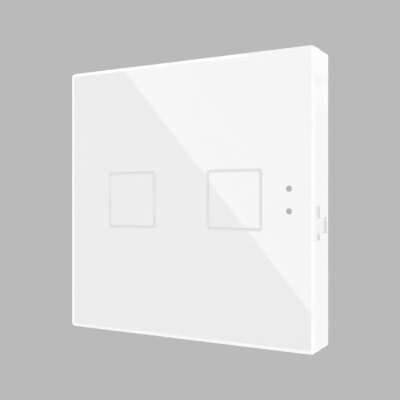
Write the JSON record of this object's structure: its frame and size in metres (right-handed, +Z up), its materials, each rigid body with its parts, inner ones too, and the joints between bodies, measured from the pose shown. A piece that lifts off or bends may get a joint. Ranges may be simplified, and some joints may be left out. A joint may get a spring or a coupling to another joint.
{
  "type": "touch light switch",
  "caption": "Square white glass touch switch with two outlined touch fields and indicator dots, on a pull-off panel over a wall-box module with relays and screw terminals.",
  "frame": {"origin": "centre of the wall plane, on the rear face of the mounting yoke", "axes": "+X to the right and +Z up as seen from the room, +Y into the wall"},
  "size_m": [0.086, 0.0375, 0.086],
  "materials": {
    "opal_glass": "opaque opal white glass, polished",
    "grey_enamel": "fired grey enamel, smooth",
    "indicator_grey": "smoke-grey clear acrylic, polished ends",
    "panel_white": "moulded white polycarbonate, semi-gloss",
    "base_white": "moulded flame-retardant polycarbonate, fine matt texture",
    "foam_tape": "black closed-cell adhesive foam",
    "zinc_steel": "zinc-plated sheet steel",
    "spring_steel": "bright spring strip",
    "screw_steel": "zinc-plated screws",
    "circuit_board": "green solder mask over glass epoxy",
    "black_moulding": "black moulded plastic",
    "chip_black": "matt epoxy",
    "copper": "bare copper foil",
    "bronze_strip": "phosphor bronze strip",
    "gold_pin": "gold flash on square pins",
    "led_lens": "clear resin over phosphor",
    "terminal_grey": "moulded dark grey polyamide",
    "terminal_brass": "bright brass bar",
    "cage_steel": "zinc-plated steel cage",
    "relay_blue": "thin blue moulded cover",
    "relay_iron": "nickel-plated soft iron",
    "bobbin_cream": "glass-filled moulding",
    "winding_copper": "enamelled copper wire",
    "ferrite": "sintered ferrite",
    "capacitor_sleeve": "shrunk dark blue sleeve",
    "film_yellow": "yellow moulded box",
    "fuse_brown": "brown moulded box"
  },
  "bodies": {
    "base": {"base_tray": "base_white", "board_fuse": "fuse_brown", "bulk_capacitor": "capacitor_sleeve", "film_capacitor": "film_yellow", "header_socket": "black_moulding", "housing_screws": "screw_steel", "mounting_yoke": "zinc_steel", "power_board": "circuit_board", "rear_housing": "base_white", "relay_left_base": "black_moulding", "relay_left_bobbin": "bobbin_cream", "relay_left_cover": "relay_blue", "relay_left_iron_frame": "relay_iron", "relay_left_terminals": "bronze_strip", "relay_left_winding": "winding_copper", "relay_right_base": "black_moulding", "relay_right_bobbin": "bobbin_cream", "relay_right_cover": "relay_blue", "relay_right_iron_frame": "relay_iron", "relay_right_terminals": "bronze_strip", "relay_right_winding": "winding_copper", "socket_contacts": "gold_pin", "spring_clips": "spring_steel", "supply_chip": "chip_black", "terminal_bars": "terminal_brass", "terminal_block_left": "terminal_grey", "terminal_block_right": "terminal_grey", "transformer_base": "black_moulding", "transformer_core": "ferrite", "transformer_winding": "winding_copper"},
    "panel": {"front_plate": "opal_glass", "touch_outline_left": "grey_enamel", "touch_outline_right": "grey_enamel", "bond_layer": "foam_tape", "panel_frame": "panel_white", "touch_board": "circuit_board", "touch_chip": "chip_black", "board_resistors": "chip_black", "touch_electrode_left": "copper", "touch_electrode_right": "copper", "touch_spring_left": "bronze_strip", "touch_spring_right": "bronze_strip", "light_pipe": "indicator_grey", "indicator_leds": "led_lens", "header_strip": "black_moulding", "header_pins": "gold_pin", "board_screws": "screw_steel"},
    "screw_1": {"terminal_screw_1": "screw_steel"},
    "cage_1": {"clamp_cage_1": "cage_steel"},
    "screw_2": {"terminal_screw_2": "screw_steel"},
    "cage_2": {"clamp_cage_2": "cage_steel"},
    "screw_3": {"terminal_screw_3": "screw_steel"},
    "cage_3": {"clamp_cage_3": "cage_steel"},
    "screw_4": {"terminal_screw_4": "screw_steel"},
    "cage_4": {"clamp_cage_4": "cage_steel"},
    "left_armature": {"relay_left_armature": "relay_iron", "relay_left_contact": "bronze_strip"},
    "right_armature": {"relay_right_armature": "relay_iron", "relay_right_contact": "bronze_strip"}
  },
  "joints": [
    {"name": "panel_release", "type": "slide", "parent": "base", "child": "panel", "axis": [0, -1, 0], "range_m": [0, 0.03], "deforming": ["spring_clips"]},
    {"name": "screw_turn_1", "type": "hinge", "parent": "base", "child": "screw_1", "pos_m": [-0.01143, 0.02, -0.0195], "axis": [0, -1, 0], "range_deg": [0, 2304.2]},
    {"name": "cage_lift_1", "type": "slide", "parent": "base", "child": "cage_1", "axis": [0, 1, 0], "range_m": [0, 0.0032]},
    {"name": "screw_turn_2", "type": "hinge", "parent": "base", "child": "screw_2", "pos_m": [-0.00381, 0.02, -0.0195], "axis": [0, -1, 0], "range_deg": [0, 2304.2]},
    {"name": "cage_lift_2", "type": "slide", "parent": "base", "child": "cage_2", "axis": [0, 1, 0], "range_m": [0, 0.0032]},
    {"name": "screw_turn_3", "type": "hinge", "parent": "base", "child": "screw_3", "pos_m": [0.00381, 0.02, -0.0195], "axis": [0, -1, 0], "range_deg": [0, 2304.2]},
    {"name": "cage_lift_3", "type": "slide", "parent": "base", "child": "cage_3", "axis": [0, 1, 0], "range_m": [0, 0.0032]},
    {"name": "screw_turn_4", "type": "hinge", "parent": "base", "child": "screw_4", "pos_m": [0.01143, 0.02, -0.0195], "axis": [0, -1, 0], "range_deg": [0, 2304.2]},
    {"name": "cage_lift_4", "type": "slide", "parent": "base", "child": "cage_4", "axis": [0, 1, 0], "range_m": [0, 0.0032]},
    {"name": "left_relay_armature", "type": "hinge", "parent": "base", "child": "left_armature", "pos_m": [-0.0087, 0.0181, -0.0056], "axis": [0, 0, -1], "range_deg": [0, 3.3], "stiffness_Nm_per_rad": 0.002, "springref_deg": -5.73},
    {"name": "right_relay_armature", "type": "hinge", "parent": "base", "child": "right_armature", "pos_m": [0.0133, 0.0181, -0.0056], "axis": [0, 0, -1], "range_deg": [0, 3.3], "stiffness_Nm_per_rad": 0.002, "springref_deg": -5.73}
  ],
  "couplings": [
    {"joint": "screw_turn_1", "follows": "cage_lift_1", "rad_per_m": 12566},
    {"joint": "screw_turn_2", "follows": "cage_lift_2", "rad_per_m": 12566},
    {"joint": "screw_turn_3", "follows": "cage_lift_3", "rad_per_m": 12566},
    {"joint": "screw_turn_4", "follows": "cage_lift_4", "rad_per_m": 12566}
  ]
}
